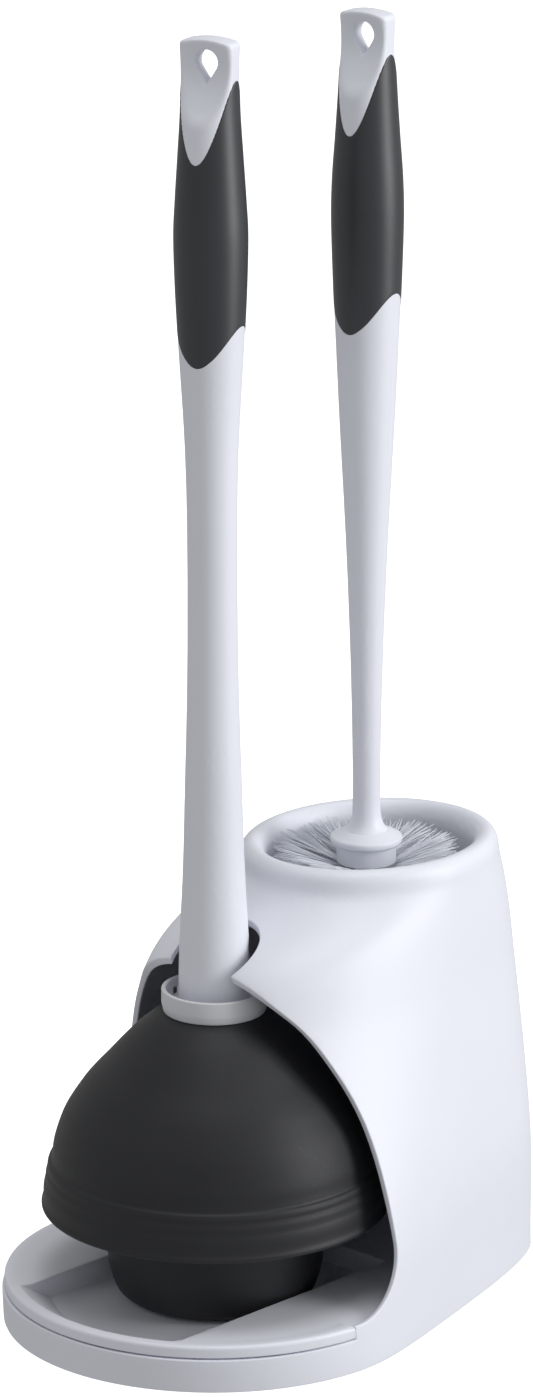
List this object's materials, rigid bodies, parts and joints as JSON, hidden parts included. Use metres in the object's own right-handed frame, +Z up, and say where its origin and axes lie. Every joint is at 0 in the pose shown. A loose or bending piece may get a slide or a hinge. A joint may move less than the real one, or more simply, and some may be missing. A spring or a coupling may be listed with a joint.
{
  "type": "toilet plunger and bowl brush set with caddy",
  "caption": "Rubber cup plunger and tufted bowl brush with soft grips, each lifting out of its own bay in a white moulded floor caddy.",
  "frame": {"origin": "middle of the caddy's footprint, on the surface that it stands on", "axes": "+Z up; -Y towards the open front, where the plunger stands; +Y towards the rear, where the brush stands; +X to the right seen from the front"},
  "size_m": [0.165, 0.2298, 0.5026],
  "materials": {
    "white_plastic": "satin moulded",
    "ring_plastic": "satin moulded",
    "grip_rubber": "soft matte",
    "black_rubber": "matte moulded",
    "pad_rubber": "matte",
    "steel": "zinc plated",
    "bristle": "translucent nylon"
  },
  "bodies": {
    "caddy": {"caddy_housing": "white_plastic", "caddy_base_tray": "white_plastic", "caddy_brush_well": "white_plastic", "caddy_tray_screws": "steel", "caddy_foot_pads": "pad_rubber"},
    "plunger": {"plunger_handle": "white_plastic", "plunger_grip": "grip_rubber", "plunger_hang_cap": "white_plastic", "plunger_retaining_ring": "ring_plastic", "plunger_rubber_cup": "black_rubber", "plunger_flange": "black_rubber", "plunger_washer": "steel", "plunger_bolt": "steel"},
    "brush": {"brush_handle": "white_plastic", "brush_grip": "grip_rubber", "brush_hang_cap": "white_plastic", "brush_collar": "white_plastic", "brush_hub": "ring_plastic", "brush_bristle_tip": "bristle", "brush_bristle_row_1": "bristle", "brush_bristle_row_2": "bristle", "brush_bristle_row_3": "bristle", "brush_bristle_row_4": "bristle", "brush_bristle_row_5": "bristle", "brush_bristle_row_6": "bristle", "brush_bristle_row_7": "bristle", "brush_bristle_row_8": "bristle"}
  },
  "joints": [
    {"name": "plunger_pull_out", "type": "slide", "parent": "caddy", "child": "plunger", "axis": [0, -0.9781, 0.2079], "range_m": [0, 0.2]},
    {"name": "brush_lift_out", "type": "slide", "parent": "caddy", "child": "brush", "axis": [0, 0, 1], "range_m": [0, 0.13]}
  ]
}
